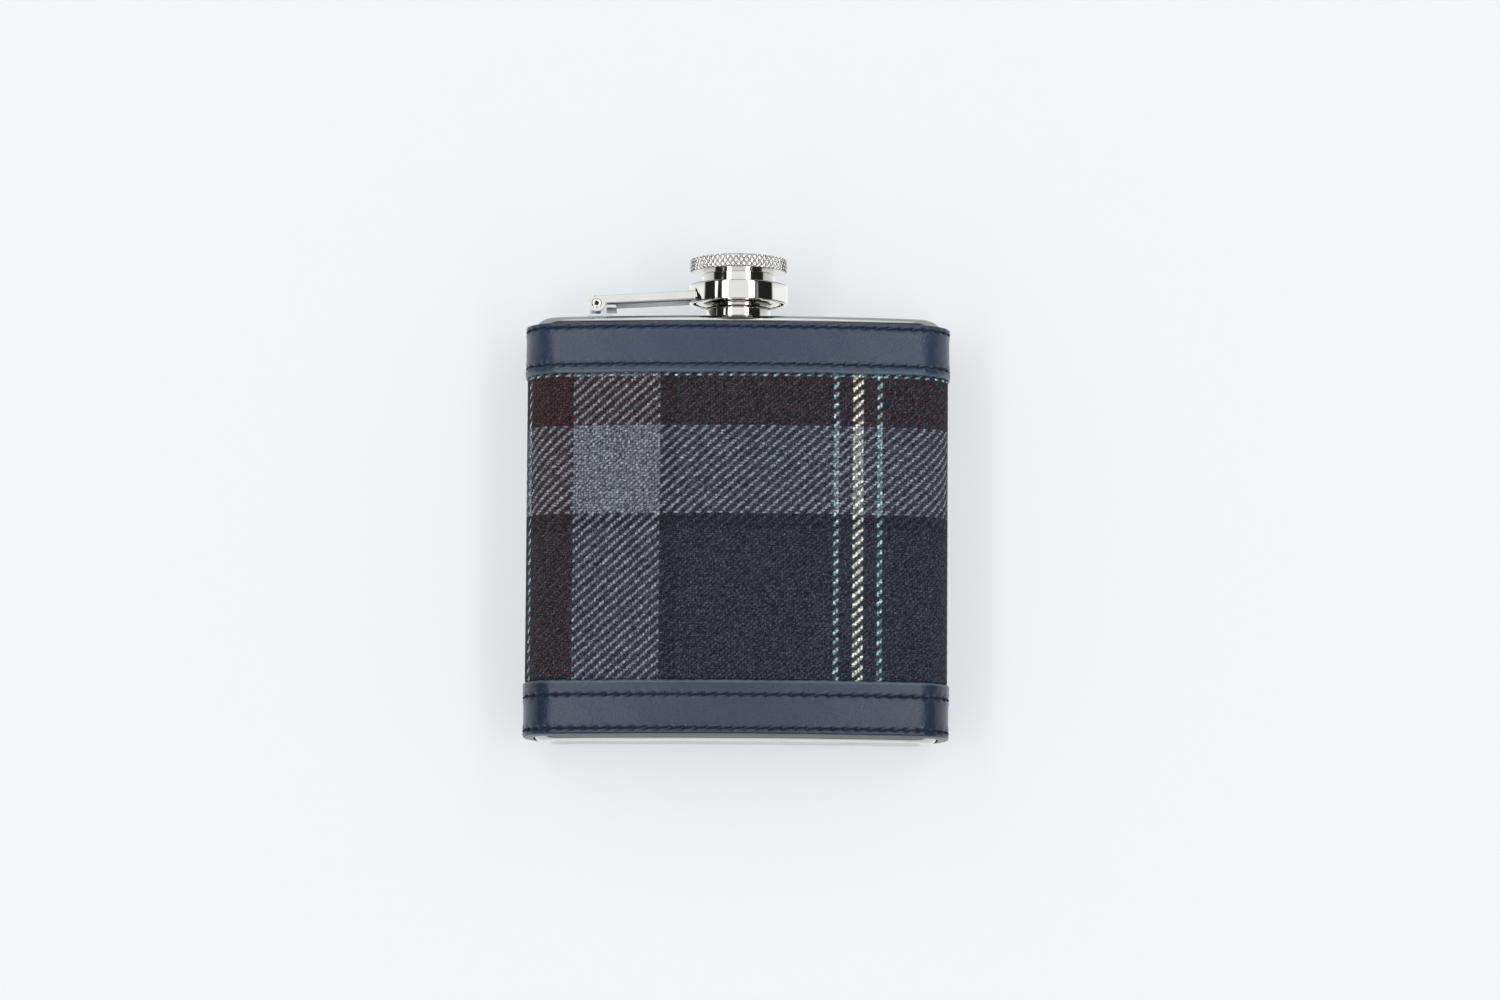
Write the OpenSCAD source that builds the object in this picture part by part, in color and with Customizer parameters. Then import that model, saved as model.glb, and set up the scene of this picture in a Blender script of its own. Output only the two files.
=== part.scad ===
// Hip flask: a curved steel flask in a cloth and leather wrap, with a screw cap that a
// hinged arm keeps on the flask. Millimetres, +Z up. The origin is the middle of the base.
// X runs across the flask, with the hinge on the -X side, and the bowed front faces -Y.

/* [Steel flask] */
// Width of the bare steel flask
steel_w = 91.8; // [88:0.1:98]
// Height of the steel flask, without its neck
steel_h = 95.5; // [85:0.5:120]
// Radius of the four upright corners
corner_r = 7.5; // [6.5:0.1:8.5]
// Flat between the two corners of each side
side_flat = 5; // [3:0.5:8]
// How far the front bows out beyond its corners
front_bow = 4; // [2:0.1:6]
// How far the back is hollowed to sit against the hip
back_hollow = 2.4; // [1:0.1:4]
// Thickness of the steel sheet
sheet_t = 0.6; // [0.4:0.05:0.8]
// Rounding of the top and bottom edges
edge_round = 3; // [2.4:0.2:3.6]
// Height of the top and base plates' sides
plate_side = 4; // [4:0.5:5]

/* [Wrap] */
// Thickness of the card that backs the cloth
backing_t = 0.7; // [0.4:0.05:0.8]
// Thickness of the cloth where it is open
cloth_t = 0.8; // [0.6:0.05:0.9]
// Thickness of the cloth where the leather presses on it
pressed_cloth_t = 0.4; // [0.3:0.05:0.5]
// Thickness of the leather
leather_t = 0.8; // [0.6:0.05:1]
// Lower edge of the bottom band above the base
band_bottom_z = 0.75; // [0.5:0.05:1.5]
// Height of the bottom band
bottom_band_h = 12; // [10:0.5:16]
// Height of the top band
top_band_h = 11.5; // [10:0.5:16]
// Steel left bare above the top band
top_bare = 1.7; // [1.4:0.1:3]
// Distance from one stitch to the next
stitch_pitch = 2.8; // [2.4:0.1:4]

/* [Neck] */
// Radius of the bore that the flask is filled through
mouth_r = 6.2; // [5.5:0.1:6.3]
// Height of the rim above the top plate
neck_rise = 7.5; // [7:0.1:8]
// Pitch of the screw thread
thread_pitch = 1.5; // [1.2:0.1:1.8]

/* [Hinge and arm] */
// Distance from the neck to the hinge pin
arm_reach = 31.9; // [28:0.1:34]
// Height of the pin above the top plate
pin_rise = 3; // [2.9:0.05:3.2]
// Radius of the hinge pin
pin_r = 0.6; // [0.5:0.05:0.7]
// Width of the arm
arm_w = 11; // [9:0.5:12]
// Thickness of the arm's sheet
arm_t = 0.7; // [0.5:0.05:0.8]

/* [Cap] */
// Radius of the collar
collar_r = 11.1; // [10.6:0.1:12]
// Height of the collar
collar_h = 4.4; // [4.2:0.1:4.6]
// Space between the top plate and the collar
collar_rise = 3.5; // [3.3:0.1:3.7]
// Radius of the knurled knob
knob_r = 11; // [10:0.1:12]
// Thickness of the knurled knob
knob_h = 3; // [2.6:0.1:3.6]
// Space between the collar and the knob
knob_gap = 2.9; // [2.7:0.1:3.2]
// Outer radius of the cap's barrel
barrel_r = 8.2; // [8.1:0.05:8.4]

/* [Hidden] */

steel = "silver";
leather = [0.16, 0.2, 0.29];
thread_navy = [0.08, 0.1, 0.16];
arc_fn = 256;
round_fn = 96;
round_steps = 6;
roof_t = 2 * sheet_t;

// The outline is four corner arcs, a front arc that bows out and a back arc that is hollow.
// Growing it by d keeps every centre and changes only the radii.
corner_x = steel_w / 2 - corner_r;
corner_y = side_flat / 2;
half_depth = corner_y + corner_r;
front_reach = (pow(corner_x, 2) + pow(front_bow, 2)) / (2 * front_bow);
front_r = front_reach + corner_r;
front_y = front_r - half_depth - front_bow;
back_reach = (pow(corner_x, 2) + pow(back_hollow, 2)) / (2 * back_hollow);
back_r = back_reach - corner_r;
back_y = half_depth - back_hollow + back_r;
front_angle = asin(corner_x / front_reach);
back_angle = asin(corner_x / back_reach);
centre_y = front_bow / 2;

backing_d = backing_t;
pressed_d = backing_d + pressed_cloth_t;
cloth_d = backing_d + cloth_t;
leather_d = pressed_d + leather_t;

band_top_z = steel_h - top_bare;
top_band_z = band_top_z - top_band_h;
bottom_band_top = band_bottom_z + bottom_band_h;
hem = 0.7;

groove_deep = 0.3;
groove_h = 1.1;
stitch_l = 2.2;
stitch_h = 0.5;
stitch_t = 0.2;
stitch_slant = 8;
// Heights of the four rows of stitches
row_bottom_lower = band_bottom_z + 1.5;
row_bottom_upper = bottom_band_top - 3;
row_top_lower = top_band_z + 1.8;
row_top_upper = band_top_z - 1.3;

neck_y = centre_y - (front_bow + back_hollow) / 2;
rim_z = steel_h + neck_rise;
neck_root_r = 6.95;
neck_crest_r = 7.25;
neck_shoulder_r = 7.2;
thread_crest_count = 2;
crest_base = 0.9;
crest_tip = 0.3;
thread_z = rim_z - 0.9 - thread_pitch;
collar_z = steel_h + collar_rise;
collar_top_z = collar_z + collar_h;
knob_z = collar_top_z + knob_gap;
collar_wall = 0.9;
barrel_clear = 0.08;
barrel_root_r = 7.85;
barrel_crest_r = 7.58;
lip_r = 9.4;
lip_h = 0.8;
lip_z = collar_z + 0.2;
seal_h = 0.9;
seal_z = rim_z + 0.05;
ceiling_z = seal_z + seal_h;
spigot_r = 6.5;
spigot_h = 1.4;

pin_x = -arm_reach;
pin_z = steel_h + pin_rise;
pin_clear = 0.05;
boss_r = 1.85;
arm_rise = 1.15;
flange_h = 1.75;
knuckle_r = 1.6;
bracket_w = arm_w - 2 * arm_t - 0.2;
web_start = 2.1;
foot_t = 0.7;
smooth = 0.3;

// ---- outlines ----

// Solid outline of the flask, grown by d
module outline(d) {
    translate([0, centre_y]) {
        for (sx = [-1, 1], sy = [-1, 1])
            translate([sx * corner_x, sy * corner_y]) circle(corner_r + d, $fn = arc_fn);
        square([steel_w + 2 * d, side_flat], center = true);
        difference() {
            intersection() {
                translate([0, front_y]) circle(front_r + d, $fn = arc_fn);
                between_corners();
            }
            translate([0, back_y]) circle(back_r - d, $fn = arc_fn);
        }
    }
}

// The part of the outline between the corner centres. Its sides point at the centres of the
// front and back arcs, so each arc ends where it runs into a corner.
module between_corners() {
    far = 3 * corner_r;
    front_dx = far * sin(front_angle);
    front_dy = far * cos(front_angle);
    back_dx = far * sin(back_angle);
    back_dy = far * cos(back_angle);
    polygon([
        [-corner_x, corner_y], [-corner_x, -corner_y],
        [-corner_x - front_dx, -corner_y - front_dy],
        [corner_x + front_dx, -corner_y - front_dy],
        [corner_x, -corner_y], [corner_x, corner_y],
        [corner_x - back_dx, corner_y + back_dy],
        [-corner_x + back_dx, corner_y + back_dy]
    ]);
}

// A sleeve that follows the outline, from inner to outer and from z0 to z1
module sleeve(inner, outer, z0, z1) {
    translate([0, 0, z0])
        linear_extrude(z1 - z0)
            difference() {
                outline(outer);
                outline(inner);
            }
}

// A solid in the outline grown by d, plate_side high, whose upper edge is rounded in short steps
module end_plate(d) {
    straight = plate_side - edge_round;
    slice = edge_round / round_steps;
    linear_extrude(straight) outline(d);
    for (i = [0:round_steps - 1]) {
        mid = (i + 0.5) / round_steps;
        inset = edge_round * (1 - sqrt(1 - mid * mid));
        translate([0, 0, straight + slice * i]) linear_extrude(slice) outline(d - inset);
    }
}

// ---- places along the outline ----

// Lengths of the pieces of half the outline, from the middle of the front round to the
// middle of the back, for the outline grown by d
function front_len(d) = (front_r + d) * front_angle * PI / 180;
function corner_front_len(d) = (corner_r + d) * (90 - front_angle) * PI / 180;
function corner_back_len(d) = (corner_r + d) * (90 + back_angle) * PI / 180;
function back_len(d) = (back_r - d) * back_angle * PI / 180;
function half_len(d) = front_len(d) + corner_front_len(d) + side_flat
                     + corner_back_len(d) + back_len(d);

// [x, y, heading of the outward normal] at distance s from the middle of the front
function spot(s, d) =
    let (a = front_len(d), b = a + corner_front_len(d), c = b + side_flat,
         e = c + corner_back_len(d))
    s < a ? on_front(s / (front_r + d) * 180 / PI, d) :
    s < b ? on_corner(-corner_y, front_angle - 90 + (s - a) / (corner_r + d) * 180 / PI, d) :
    s < c ? [corner_x + corner_r + d, s - b - corner_y, 0] :
    s < e ? on_corner(corner_y, (s - c) / (corner_r + d) * 180 / PI, d) :
            on_back((half_len(d) - s) / (back_r - d) * 180 / PI, d);
function on_front(angle, d) =
    [(front_r + d) * sin(angle), front_y - (front_r + d) * cos(angle), angle - 90];
function on_corner(cy, angle, d) =
    [corner_x + (corner_r + d) * cos(angle), cy + (corner_r + d) * sin(angle), angle];
function on_back(angle, d) =
    [(back_r - d) * sin(angle), back_y - (back_r - d) * cos(angle), 90 + angle];

// A row of stitches that lies in a groove of the leather
module stitch_row(z) {
    d = leather_d - groove_deep + 0.02;
    count = round(half_len(d) / stitch_pitch);
    step = half_len(d) / count;
    color(thread_navy)
        for (side = [-1, 1], i = [0:count - 1]) {
            p = spot((i + 0.5) * step, d);
            translate([side * p[0], p[1] + centre_y, z])
                rotate([0, 0, side > 0 ? p[2] : 180 - p[2]])
                    rotate([stitch_slant, 0, 0])
                        translate([0, -stitch_l / 2, -stitch_h / 2])
                            cube([stitch_t, stitch_l, stitch_h]);
        }
}

// ---- screw thread ----

// The crests of the thread, a pitch apart, as rings on radius root_r that reach crest_r
module thread_crests(root_r, crest_r, z, count) {
    inside = crest_r < root_r ? 0.1 : -0.1;
    for (i = [0:count - 1])
        translate([0, 0, z + thread_pitch * i])
            rotate_extrude($fn = round_fn)
                polygon([[root_r + inside, -crest_base / 2], [root_r, -crest_base / 2],
                         [crest_r, -crest_tip / 2], [crest_r, crest_tip / 2],
                         [root_r, crest_base / 2], [root_r + inside, crest_base / 2]]);
}

// ---- steel flask ----

module body_wall() {
    color(steel) sleeve(-sheet_t, 0, plate_side, steel_h - plate_side);
}

module top_plate() {
    color(steel) difference() {
        translate([0, 0, steel_h - plate_side]) end_plate(0);
        translate([0, 0, steel_h - plate_side - roof_t]) end_plate(-sheet_t);
        translate([0, neck_y, steel_h - 4]) cylinder(r = neck_shoulder_r, h = 6, $fn = round_fn);
    }
}

module base_plate() {
    color(steel) difference() {
        translate([0, 0, plate_side]) mirror([0, 0, 1]) end_plate(0);
        translate([0, 0, plate_side + roof_t]) mirror([0, 0, 1]) end_plate(-sheet_t);
    }
}

module neck() {
    shoulder_top = thread_z - thread_pitch / 2;
    color(steel) {
        translate([0, neck_y, 0]) difference() {
            union() {
                translate([0, 0, steel_h - 2])
                    cylinder(r = neck_shoulder_r, h = shoulder_top - steel_h + 2, $fn = round_fn);
                translate([0, 0, shoulder_top])
                    cylinder(r = neck_root_r, h = rim_z - shoulder_top, $fn = round_fn);
                thread_crests(neck_root_r, neck_crest_r, thread_z, thread_crest_count);
            }
            translate([0, 0, steel_h - 3]) cylinder(r = mouth_r, h = neck_rise + 4, $fn = round_fn);
        }
    }
}

module neck_weld() {
    bead = 0.45;
    color(steel) translate([0, neck_y, steel_h])
        rotate_extrude($fn = round_fn)
            polygon([[neck_shoulder_r, 0], [neck_shoulder_r + bead, 0],
                     [neck_shoulder_r + bead / 3, bead / 3], [neck_shoulder_r, bead]]);
}

// ---- hinge ----

// Puts a profile drawn in X and Z at the pin, with its thickness w along Y
module across(w) {
    translate([pin_x, neck_y + w / 2, pin_z]) rotate([90, 0, 0]) linear_extrude(w) children();
}

module hinge_bracket() {
    leg_x = 0.9;
    leg_w = 1.3;
    tab_l = 4.4;
    color(steel) across(bracket_w) difference() {
        union() {
            circle(knuckle_r, $fn = round_fn);
            translate([-knuckle_r, -pin_rise]) square([knuckle_r + leg_x + leg_w + 1.4, foot_t]);
            translate([leg_x, -pin_rise]) square([leg_w, pin_rise - 0.2]);
            translate([leg_x, -0.2 - foot_t]) square([tab_l - leg_x, foot_t]);
        }
        circle(pin_r, $fn = round_fn);
    }
}

module bracket_weld() {
    bead = 0.4;
    color(steel) across(bracket_w)
        polygon([[-knuckle_r, -pin_rise], [-knuckle_r, -pin_rise + bead],
                 [-knuckle_r - bead, -pin_rise]]);
}

module hinge_pin() {
    color(steel) translate([pin_x, neck_y, pin_z])
        rotate([90, 0, 0]) cylinder(r = pin_r, h = arm_w - 0.3, center = true, $fn = round_fn);
}

// ---- arm and collar ----

// Height of the arm's top edge above the pin, at x from the pin
function arm_top(x) = boss_r - 0.1 + x * arm_rise / (arm_reach - collar_r);

// A side view of the arm from x0 to x1, between two depths below its top edge
module arm_strip(x0, x1, upper, lower) {
    polygon([[x0, arm_top(x0) - upper], [x1, arm_top(x1) - upper],
             [x1, arm_top(x1) - lower], [x0, arm_top(x0) - lower]]);
}

// A channel, open below: two sides that end in round bosses on the pin, and a web
module arm() {
    inner_w = arm_w - 2 * arm_t;
    x1 = arm_reach - collar_r / 2;
    color(steel) difference() {
        union() {
            difference() {
                across(arm_w) arm_strip(0, x1, 0, flange_h);
                across(inner_w) arm_strip(-1, arm_reach, arm_t, 3 * flange_h);
                across(inner_w) translate([-1, -flange_h]) square([web_start + 1, 3 * flange_h]);
            }
            for (side = [-1, 1])
                translate([0, side * (arm_w - arm_t) / 2, 0])
                    across(arm_t) circle(boss_r, $fn = round_fn);
        }
        translate([pin_x, neck_y, pin_z]) rotate([90, 0, 0])
            cylinder(r = pin_r + pin_clear, h = 2 * arm_w, center = true, $fn = round_fn);
        translate([0, neck_y, collar_z - 2]) cylinder(r = collar_r, h = 8, $fn = round_fn);
    }
}

module collar() {
    inner = collar_r - collar_wall;
    hole = barrel_r + barrel_clear;
    color(steel) translate([0, neck_y, collar_z])
        rotate_extrude($fn = round_fn)
            polygon([[inner + smooth, 0], [collar_r - smooth, 0], [collar_r, smooth],
                     [collar_r, collar_h - smooth], [collar_r - smooth, collar_h],
                     [hole, collar_h], [hole, collar_h - collar_wall],
                     [inner, collar_h - collar_wall], [inner, smooth]]);
}

// The fillet of brazing metal between the arm's web and the collar
module arm_braze() {
    bead = 0.7;
    x0 = arm_reach - collar_r - bead;
    x1 = arm_reach - collar_r + 2 * bead;
    color(steel) difference() {
        across(arm_w)
            polygon([[x0, arm_top(x0)], [x1, arm_top(x1)], [x1, arm_top(x1) + bead]]);
        translate([0, neck_y, collar_z - 2]) cylinder(r = collar_r, h = 8, $fn = round_fn);
    }
}

// ---- cap ----

module cap_barrel() {
    color(steel) translate([0, neck_y, 0]) {
        difference() {
            union() {
                translate([0, 0, lip_z]) cylinder(r = lip_r, h = lip_h, $fn = round_fn);
                translate([0, 0, lip_z]) cylinder(r = barrel_r, h = knob_z - lip_z, $fn = round_fn);
                translate([0, 0, knob_z]) cylinder(r = spigot_r, h = spigot_h, $fn = round_fn);
            }
            translate([0, 0, lip_z - 1])
                cylinder(r = barrel_root_r, h = ceiling_z - lip_z + 1, $fn = round_fn);
        }
        thread_crests(barrel_root_r, barrel_crest_r, thread_z - thread_pitch / 2,
                      thread_crest_count);
    }
}

module cap_knob() {
    color(steel) translate([0, neck_y, knob_z]) difference() {
        rotate_extrude($fn = round_fn)
            polygon([[0, 0], [knob_r - smooth, 0], [knob_r, smooth],
                     [knob_r, knob_h - smooth], [knob_r - smooth, knob_h], [0, knob_h]]);
        translate([0, 0, -1]) cylinder(r = spigot_r, h = spigot_h + 1, $fn = round_fn);
    }
}

module cap_seal() {
    color("ivory") translate([0, neck_y, seal_z])
        cylinder(r = barrel_root_r - 0.3, h = seal_h, $fn = round_fn);
}

// ---- wrap ----

module backing_card() {
    color("tan") sleeve(0, backing_d, band_bottom_z + hem, band_top_z - hem);
}

module cloth_wrap() {
    color([0.2, 0.21, 0.26]) {
        sleeve(backing_d, pressed_d, band_bottom_z + hem, band_top_z - hem);
        sleeve(pressed_d, cloth_d, bottom_band_top, top_band_z);
    }
}

// A leather band from z0 to z1, thinner where the rows of stitches at row0 and row1 sink in.
// Its hem, from hem_z up, is turned over the edge of the cloth and the card.
module leather_band(z0, row0, row1, z1, hem_z) {
    edges = [z0, row0 - groove_h / 2, row0 + groove_h / 2,
             row1 - groove_h / 2, row1 + groove_h / 2, z1];
    color(leather) {
        for (i = [0:len(edges) - 2])
            sleeve(pressed_d, leather_d - (i % 2) * groove_deep, edges[i], edges[i + 1]);
        sleeve(0, pressed_d, hem_z, hem_z + hem);
    }
}

module leather_band_top() {
    leather_band(top_band_z, row_top_lower, row_top_upper, band_top_z, band_top_z - hem);
}

module leather_band_bottom() {
    leather_band(band_bottom_z, row_bottom_lower, row_bottom_upper, bottom_band_top,
                 band_bottom_z);
}

module stitches_top_upper() {
    stitch_row(row_top_upper);
}

module stitches_top_lower() {
    stitch_row(row_top_lower);
}

module stitches_bottom_upper() {
    stitch_row(row_bottom_upper);
}

module stitches_bottom_lower() {
    stitch_row(row_bottom_lower);
}

body_wall();
top_plate();
base_plate();
neck();
neck_weld();
hinge_bracket();
bracket_weld();
hinge_pin();
backing_card();
cloth_wrap();
leather_band_top();
leather_band_bottom();
stitches_top_upper();
stitches_top_lower();
stitches_bottom_upper();
stitches_bottom_lower();
arm();
collar();
arm_braze();
cap_barrel();
cap_knob();
cap_seal();
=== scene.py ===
"""A steel hip flask in a woollen check with stitched leather bands, built on its CAD frame.

Meshes are worked out in millimetres in the frame's own axes and turned into metres once, by piece().
The front faces -Y and the flask lies on its back on a pale surface.
"""

import math

import bmesh
import bpy
import numpy as np
from mathutils import Matrix, Vector


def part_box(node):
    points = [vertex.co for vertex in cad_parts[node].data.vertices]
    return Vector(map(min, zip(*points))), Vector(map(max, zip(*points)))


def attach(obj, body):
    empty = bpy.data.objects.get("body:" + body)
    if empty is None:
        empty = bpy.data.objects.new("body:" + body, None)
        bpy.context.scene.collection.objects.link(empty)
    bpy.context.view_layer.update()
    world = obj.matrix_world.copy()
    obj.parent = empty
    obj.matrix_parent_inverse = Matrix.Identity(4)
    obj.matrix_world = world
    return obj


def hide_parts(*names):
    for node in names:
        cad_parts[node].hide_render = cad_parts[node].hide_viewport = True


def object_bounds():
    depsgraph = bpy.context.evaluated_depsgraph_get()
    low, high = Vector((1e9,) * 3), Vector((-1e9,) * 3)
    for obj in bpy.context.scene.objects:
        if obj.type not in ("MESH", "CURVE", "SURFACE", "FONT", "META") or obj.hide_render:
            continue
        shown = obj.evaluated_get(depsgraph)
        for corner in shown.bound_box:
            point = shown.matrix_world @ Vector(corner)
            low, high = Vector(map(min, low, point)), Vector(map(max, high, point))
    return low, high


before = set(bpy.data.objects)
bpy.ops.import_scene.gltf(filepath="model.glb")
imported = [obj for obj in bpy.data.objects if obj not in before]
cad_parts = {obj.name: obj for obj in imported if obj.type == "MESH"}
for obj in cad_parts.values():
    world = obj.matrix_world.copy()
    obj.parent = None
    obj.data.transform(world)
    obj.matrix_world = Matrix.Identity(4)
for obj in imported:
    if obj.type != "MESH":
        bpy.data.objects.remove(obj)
cad_low, cad_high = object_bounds()

MM = 0.001


# ---- sizes taken from the frame ----

def span(node):
    """The lowest and highest corners of a CAD node, in millimetres."""
    low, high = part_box(node)
    return np.array(low) / MM, np.array(high) / MM


_, wall_high = span("body_wall")
cloth_low, cloth_high = span("cloth_wrap")
_, card_high = span("backing_card")
top_band_low, top_band_high = span("leather_band_top")
base_band_low, base_band_high = span("leather_band_bottom")
plate_low, plate_high = span("top_plate")
_, base_high = span("base_plate")
collar_low, collar_high = span("collar")
neck_low, neck_high = span("neck")
knob_low, knob_high = span("cap_knob")
barrel_low, barrel_high = span("cap_barrel")
seal_low, seal_high = span("cap_seal")
arm_low, arm_high = span("arm")

HALF_W = wall_high[0]
CLOTH_D = cloth_high[0] - HALF_W
CARD_D = card_high[0] - HALF_W
LEATHER_D = top_band_high[0] - HALF_W
PRESSED_CLOTH_T = 0.4
PRESSED_D = CARD_D + PRESSED_CLOTH_T
STEEL_TOP = plate_high[2]
RIM_Z = neck_high[2]
AXIS_Y = (collar_low[1] + collar_high[1]) / 2

# The outline of the flask, as the CAD draws it
CORNER_R = 7.5
SIDE_FLAT = 5.0
FRONT_BOW = 4.0
BACK_HOLLOW = 2.4
EDGE_ROUND = 3.0
ROOF_T = 1.2
SHEET_T = 0.6


# ---- the outline and places along it ----

class Outline:
    """The flask's outline grown by a distance: a bowed front, a hollow back and round corners.
    Places are given by their distance from the middle of the front, positive towards +X."""

    def __init__(self, grown):
        self.corner_x = HALF_W - CORNER_R
        self.corner_y = SIDE_FLAT / 2
        depth = self.corner_y + CORNER_R
        front_reach = (self.corner_x ** 2 + FRONT_BOW ** 2) / (2 * FRONT_BOW)
        back_reach = (self.corner_x ** 2 + BACK_HOLLOW ** 2) / (2 * BACK_HOLLOW)
        self.front_r = front_reach + CORNER_R + grown
        self.back_r = back_reach - CORNER_R - grown
        self.corner_r = CORNER_R + grown
        self.middle_y = FRONT_BOW / 2
        self.front_y = front_reach + CORNER_R - depth - FRONT_BOW
        self.back_y = depth - BACK_HOLLOW + back_reach - CORNER_R
        self.front_angle = math.asin(self.corner_x / front_reach)
        back_angle = math.asin(self.corner_x / back_reach)
        lengths = [
            self.front_r * self.front_angle,
            self.corner_r * (math.pi / 2 - self.front_angle),
            SIDE_FLAT,
            self.corner_r * (math.pi / 2 + back_angle),
            self.back_r * back_angle,
        ]
        self.ends = np.cumsum(lengths)
        self.half = self.ends[-1]

    def at(self, s):
        """Points and outward normals at distances s round the outline, each of shape (n, 2)."""
        s = np.asarray(s, float)
        side = np.where(s < 0, -1.0, 1.0)
        t = np.abs(s)
        front_end, corner_end, side_end, back_start = self.ends[:-1]
        zones = [t < front_end, t < corner_end, t < side_end, t < back_start]
        bow = t / self.front_r - math.pi / 2
        first = self.front_angle - math.pi / 2 + (t - front_end) / self.corner_r
        second = (t - side_end) / self.corner_r
        lean = (self.half - t) / self.back_r
        angle = np.select(zones, [bow, first, 0 * t, second], math.pi / 2 + lean)
        x = np.select(zones, [
            self.front_r * np.cos(bow),
            self.corner_x + self.corner_r * np.cos(first),
            self.corner_x + self.corner_r + 0 * t,
            self.corner_x + self.corner_r * np.cos(second),
        ], self.back_r * np.sin(lean))
        y = np.select(zones, [
            self.front_y + self.front_r * np.sin(bow),
            -self.corner_y + self.corner_r * np.sin(first),
            t - corner_end - self.corner_y,
            self.corner_y + self.corner_r * np.sin(second),
        ], self.back_y - self.back_r * np.cos(lean))
        points = np.stack([side * x, y + self.middle_y], -1)
        normals = np.stack([side * np.cos(angle), np.sin(angle)], -1)
        return points, normals


# ---- meshes ----

def linked(name, data):
    """A new object in the scene that shows data."""
    obj = bpy.data.objects.new(name, data)
    bpy.context.scene.collection.objects.link(obj)
    return obj


def piece(name, verts, faces, uvs=None, smooth=True):
    """A mesh object from vertices in millimetres. uvs holds one pair for each corner of each face."""
    mesh = bpy.data.meshes.new(name)
    mesh.from_pydata((np.asarray(verts) * MM).tolist(), [], [list(f) for f in faces])
    if uvs is not None:
        layer = mesh.uv_layers.new(name="mm")
        layer.data.foreach_set("uv", np.asarray(uvs, np.float32).ravel())
    mesh.polygons.foreach_set("use_smooth", [smooth] * len(mesh.polygons))
    mesh.validate()
    mesh.update()
    return linked(name, mesh)


def sheet_faces(rows, cols, closed):
    """Quads of a grid of rows by cols vertices, numbered row by row, and each quad's row and column.
    The columns run all the way round, and the rows do so where closed."""
    faces, cells = [], []
    for i in range(rows if closed else rows - 1):
        for j in range(cols):
            i1, j1 = (i + 1) % rows, (j + 1) % cols
            faces.append((i * cols + j, i * cols + j1, i1 * cols + j1, i1 * cols + j))
            cells.append((i, j))
    return faces, cells


def columns(profile, count):
    """The first and the second numbers of a profile's points, each repeated for count columns."""
    profile = np.asarray(profile, float)
    return [np.repeat(profile[:, k][:, None], count, 1) for k in (0, 1)]


def lengths_along(profile):
    """Distances along a closed profile, from its first point round to that point again."""
    step = np.linalg.norm(np.diff(profile, axis=0, append=profile[:1]), axis=1)
    return np.concatenate([[0], np.cumsum(step)])


def grid_uvs(cells, across, along):
    """The map of a grid's cells, from the distances of its columns and of its rows."""
    uvs = []
    for i, j in cells:
        u0, u1, v0, v1 = across[j], across[j + 1], along[i], along[i + 1]
        uvs += [(u0, v0), (u1, v0), (u1, v1), (u0, v1)]
    return uvs


def swept(name, reference, s, profile, shift, along):
    """Sweeps a closed profile of (grown, height) pairs once round the outline.
    s are distances round the outline grown by reference. shift(s, d, z) returns changes of (d, z).
    The UV map holds the distance round the outline and along, given for each point, in mm."""
    outline = Outline(reference)
    points, normals = outline.at(s)
    d, z = columns(profile, len(s))
    dd, dz = shift(s[None, :] + 0 * d, d, z)
    xy = points[None] + normals[None] * (d + dd - reference)[..., None]
    verts = np.concatenate([xy, (z + dz)[..., None]], -1).reshape(-1, 3)
    faces, cells = sheet_faces(len(profile), len(s), True)
    across = np.append(s, s[0] + 2 * outline.half)
    return piece(name, verts, faces, grid_uvs(cells, across, along))


def ring_steps(half, step):
    """Even distances round an outline of that half length, starting at the seam."""
    n = int(round(2 * half / step))
    return -half + 2 * half * np.arange(n) / n


def bell(x, width):
    """A soft rise to 1 at zero, of that half width."""
    return np.exp(-(x / width) ** 2)


def fade(x, width):
    """1 at zero, falling off to either side."""
    return np.exp(-np.abs(x) / width)


def arc(cx, cy, r, a0, a1, n):
    """n + 1 points on an arc, angles in degrees."""
    a = np.radians(np.linspace(a0, a1, n + 1))
    return [(cx + r * math.cos(t), cy + r * math.sin(t)) for t in a]


# Points closer than these merge: in a mesh made here, and in one of several parts or from CAD
MERGE_FINE = 0.001
MERGE_COARSE = 0.002


def opened(mesh):
    """An editable copy of a mesh."""
    bm = bmesh.new()
    bm.from_mesh(mesh)
    return bm


def store(bm, mesh):
    """Writes an edited copy into a mesh."""
    bm.to_mesh(mesh)
    bm.free()


def clean(obj):
    """Merges doubled points and points every face outwards."""
    bm = opened(obj.data)
    bmesh.ops.remove_doubles(bm, verts=bm.verts, dist=MERGE_FINE * MM)
    bmesh.ops.recalc_face_normals(bm, faces=bm.faces)
    store(bm, obj.data)


def sharpen(obj, degrees):
    """Smooth shading that breaks at edges sharper than that."""
    bm = opened(obj.data)
    for e in bm.edges:
        e.smooth = len(e.link_faces) == 2 and e.calc_face_angle(0) < math.radians(degrees)
    store(bm, obj.data)
    obj.data.polygons.foreach_set("use_smooth", [True] * len(obj.data.polygons))


def lathe(name, profile, turns, degrees, radius=None):
    """Turns a profile of (radius, height) pairs round the cap's axis. radius(angle, r, z) changes r.
    The UV map holds the distance round the widest part and the distance along the profile."""
    angle = np.arange(turns) / turns * 2 * math.pi
    r, z = columns(profile, turns)
    across = 2 * math.pi * r.max() * np.arange(turns + 1) / turns
    if radius is not None:
        r = radius(angle[None, :] + 0 * r, r, z)
    verts = np.stack([r * np.sin(angle), AXIS_Y - r * np.cos(angle), z], -1).reshape(-1, 3)
    faces, cells = sheet_faces(len(profile), turns, True)
    obj = piece(name, verts, faces, grid_uvs(cells, across, lengths_along(profile)))
    clean(obj)
    sharpen(obj, degrees)
    return obj


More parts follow.
